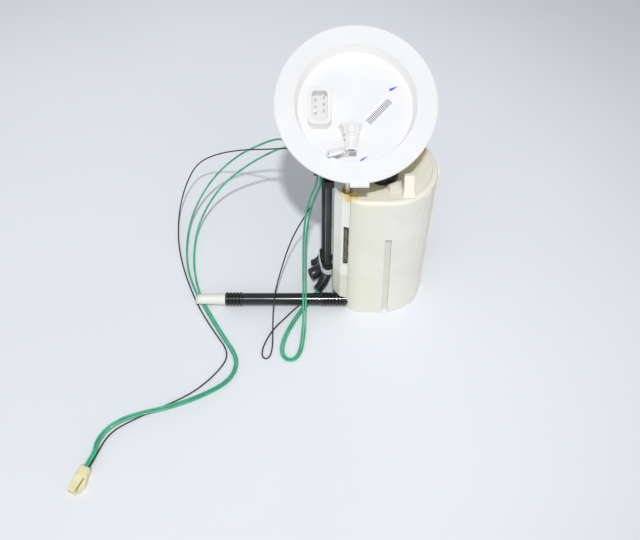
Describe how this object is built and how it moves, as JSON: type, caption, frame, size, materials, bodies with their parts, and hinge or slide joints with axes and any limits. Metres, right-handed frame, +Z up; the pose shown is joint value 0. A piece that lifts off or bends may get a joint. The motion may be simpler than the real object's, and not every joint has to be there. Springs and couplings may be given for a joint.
{
  "type": "fuel pump module",
  "caption": "In-tank fuel pump module: tall plastic reservoir pot with a sprung, tilting mounting flange, side transfer pipe with nozzle, level float and loose wires with a plug.",
  "frame": {"origin": "centre of the pot's round base, on the floor", "axes": "+Z up the pot, -Y the side with the slot groove, -X the side with the guide bracket and the transfer pipe"},
  "size_m": [0.3087, 0.3298, 0.2541],
  "materials": {
    "pot_plastic": "fine satin moulded plastic",
    "bracket_plastic": "satin moulded plastic",
    "can_steel": "drawn can",
    "pump_black": "moulded plastic",
    "cap_black": "smooth moulded plastic",
    "magnet_ferrite": "sintered",
    "armature_steel": "ground",
    "isolator_rubber": "matte",
    "strainer_mesh": "fine woven mesh",
    "regulator_metal": "pressed",
    "valve_rubber": "matte",
    "pipe_black": "glossy moulded pipe",
    "nozzle_plastic": "satin",
    "card_brass": "plain",
    "rod_steel": "polished",
    "float_foam": "closed-cell foam",
    "spring_steel": "drawn wire",
    "flange_plastic": "satin moulded plastic",
    "pin_tin": "tin plated",
    "label_film": "thin film",
    "line_black": "extruded",
    "strap_nylon": "satin",
    "plug_plastic": "satin",
    "wire_green": "extruded insulation",
    "wire_black": "extruded insulation"
  },
  "bodies": {
    "pot": {"reservoir_pot": "pot_plastic", "pot_deck": "pot_plastic", "deck_post": "pot_plastic", "deck_lug": "pot_plastic", "guide_bracket": "bracket_plastic", "pump_can": "can_steel", "pump_inlet_cover": "pump_black", "pump_bearing_plate": "pump_black", "pump_outlet_cap": "cap_black", "motor_magnets": "magnet_ferrite", "pump_isolator": "isolator_rubber", "inlet_strainer": "strainer_mesh", "pressure_regulator": "regulator_metal", "foot_valve": "valve_rubber", "jet_pump": "pump_black", "transfer_pipe": "pipe_black", "transfer_nozzle": "nozzle_plastic", "sender_housing": "pump_black", "sender_card": "card_brass", "guide_spring_front": "spring_steel", "guide_spring_rear": "spring_steel", "harness_clip": "pump_black", "feed_line": "line_black", "breather_line": "line_black", "wire_riser": "line_black", "feed_sleeve": "line_black", "breather_sleeve": "line_black", "wire_sleeve": "line_black", "line_strap": "strap_nylon", "plug_housing": "plug_plastic", "plug_terminals": "card_brass", "wire_green_long_outer": "wire_green", "wire_green_long_inner": "wire_green", "wire_black_long": "wire_black", "wire_green_short_left": "wire_green", "wire_green_short_right": "wire_green", "wire_black_short": "wire_black"},
    "rotor": {"pump_armature": "armature_steel", "pump_impeller": "pump_black"},
    "sender_arm": {"float_arm": "rod_steel", "sender_float": "float_foam"},
    "carrier": {"carrier_yoke": "pump_black", "line_manifold": "pump_black", "guide_rod_front": "rod_steel", "guide_rod_rear": "rod_steel"},
    "flange": {"flange_plate": "flange_plastic", "flange_ribs": "flange_plastic", "hinge_ears": "flange_plastic", "connector_tower": "flange_plastic", "outlet_block": "flange_plastic", "outlet_spigot": "flange_plastic", "vent_nipple": "flange_plastic", "terminal_pins": "pin_tin", "flange_seal": "isolator_rubber", "id_label": "label_film", "hinge_pin": "rod_steel"}
  },
  "joints": [
    {"name": "motor_spin", "type": "hinge", "parent": "pot", "child": "rotor", "pos_m": [-0.005, -0.002, 0.07], "axis": [0, 0, 1], "continuous": true},
    {"name": "float_swing", "type": "hinge", "parent": "pot", "child": "sender_arm", "pos_m": [0.017, 0.0508, 0.1], "axis": [0, -1, 0], "range_deg": [0, 75]},
    {"name": "guide_slide", "type": "slide", "parent": "pot", "child": "carrier", "axis": [0, 0, 1], "range_m": [-0.016, 0], "stiffness_N_per_m": 800, "springref_m": 0.03, "deforming": ["guide_spring_front", "guide_spring_rear", "feed_line", "breather_line", "wire_riser"]},
    {"name": "flange_tilt", "type": "hinge", "parent": "carrier", "child": "flange", "pos_m": [-0.033, 0.01858, 0.20195], "axis": [1, 0, 0], "range_deg": [-28.1, 0]}
  ]
}
